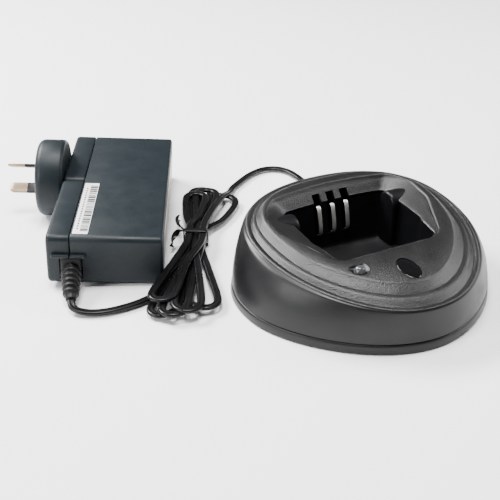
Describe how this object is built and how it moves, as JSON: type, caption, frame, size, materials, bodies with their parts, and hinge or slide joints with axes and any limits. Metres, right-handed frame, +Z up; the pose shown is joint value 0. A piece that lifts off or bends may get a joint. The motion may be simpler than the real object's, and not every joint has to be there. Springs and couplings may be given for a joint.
{
  "type": "desktop radio charger",
  "caption": "Desktop charging cradle with a flared pocket and spring contacts, its flat cord tied in a hank, and its plug-in power supply.",
  "frame": {"origin": "middle of the cradle's flat underside, on the table that everything lies on", "axes": "+Z up, +Y towards the back of the cradle, where its cord leaves, +X towards the cradle's right-hand side"},
  "size_m": [0.2073, 0.2433, 0.0432],
  "materials": {
    "cradle_shell": "black moulded ABS with a fine spark-eroded grain on top and a smooth satin side",
    "cradle_base": "smooth satin black ABS",
    "pocket_plastic": "smooth black polycarbonate",
    "contact_metal": "bright nickel-plated spring strip",
    "badge_gloss": "blank glossy black inlay",
    "clear_lens": "clear moulded light pipe",
    "board_laminate": "green glass-epoxy laminate",
    "copper_winding": "enamelled copper winding",
    "capacitor_sleeve": "shrink sleeve",
    "component_black": "black epoxy or nylon",
    "supply_plastic": "blue-black fine satin polycarbonate",
    "pin_metal": "bare brass, dulled",
    "sleeve_plastic": "dark insulating sleeve",
    "heat_sink_metal": "plain sheet",
    "label_paper": "printed white film",
    "cord_rubber": "glossy flexible PVC jacket",
    "tie_plastic": "flat black twist tie",
    "screw_steel": "zinc-plated steel",
    "foot_rubber": "soft black rubber"
  },
  "bodies": {
    "root": {"top_shell": "cradle_shell", "pocket_collar": "cradle_shell", "base_tray": "cradle_base", "pocket_cup": "pocket_plastic", "contact_carrier": "pocket_plastic", "badge": "badge_gloss", "status_lens": "clear_lens", "circuit_board": "board_laminate", "status_led": "clear_lens", "inductor": "copper_winding", "smoothing_capacitor": "capacitor_sleeve", "charge_transistor": "component_black", "dc_jack": "component_black", "supply_rear_case": "supply_plastic", "supply_front_case": "supply_plastic", "supply_board": "board_laminate", "supply_transformer": "copper_winding", "bulk_capacitor": "capacitor_sleeve", "output_capacitor": "capacitor_sleeve", "heat_sink": "heat_sink_metal", "barcode_label": "label_paper", "rating_label": "label_paper", "cord_strain_relief": "cord_rubber", "dc_plug": "cord_rubber", "cord_to_cradle": "cord_rubber", "cord_hank": "cord_rubber", "twist_tie": "tie_plastic", "cord_to_supply": "cord_rubber", "case_screw_1": "screw_steel", "rubber_foot_1": "foot_rubber", "case_screw_2": "screw_steel", "rubber_foot_2": "foot_rubber", "case_screw_3": "screw_steel", "rubber_foot_3": "foot_rubber", "case_screw_4": "screw_steel", "rubber_foot_4": "foot_rubber"},
    "exchangeable_plug": {"plug_head": "supply_plastic", "pin_upper": "pin_metal", "pin_lower": "pin_metal", "pin_sleeve_upper": "sleeve_plastic", "pin_sleeve_lower": "sleeve_plastic"},
    "contact_left": {"contact_spring_left": "contact_metal"},
    "contact_middle": {"contact_spring_middle": "contact_metal"},
    "contact_right": {"contact_spring_right": "contact_metal"}
  },
  "joints": [
    {"name": "contact_left_press", "type": "slide", "parent": "root", "child": "contact_left", "axis": [0, 1, 0], "range_m": [0, 0.0018], "stiffness_N_per_m": 300, "springref_m": -0.0008},
    {"name": "contact_middle_press", "type": "slide", "parent": "root", "child": "contact_middle", "axis": [0, 1, 0], "range_m": [0, 0.0018], "stiffness_N_per_m": 300, "springref_m": -0.0008},
    {"name": "contact_right_press", "type": "slide", "parent": "root", "child": "contact_right", "axis": [0, 1, 0], "range_m": [0, 0.0018], "stiffness_N_per_m": 300, "springref_m": -0.0008},
    {"name": "plug_head_slide", "type": "slide", "parent": "root", "child": "exchangeable_plug", "axis": [0.421, 0.907, 0], "range_m": [0, 0.058]}
  ]
}
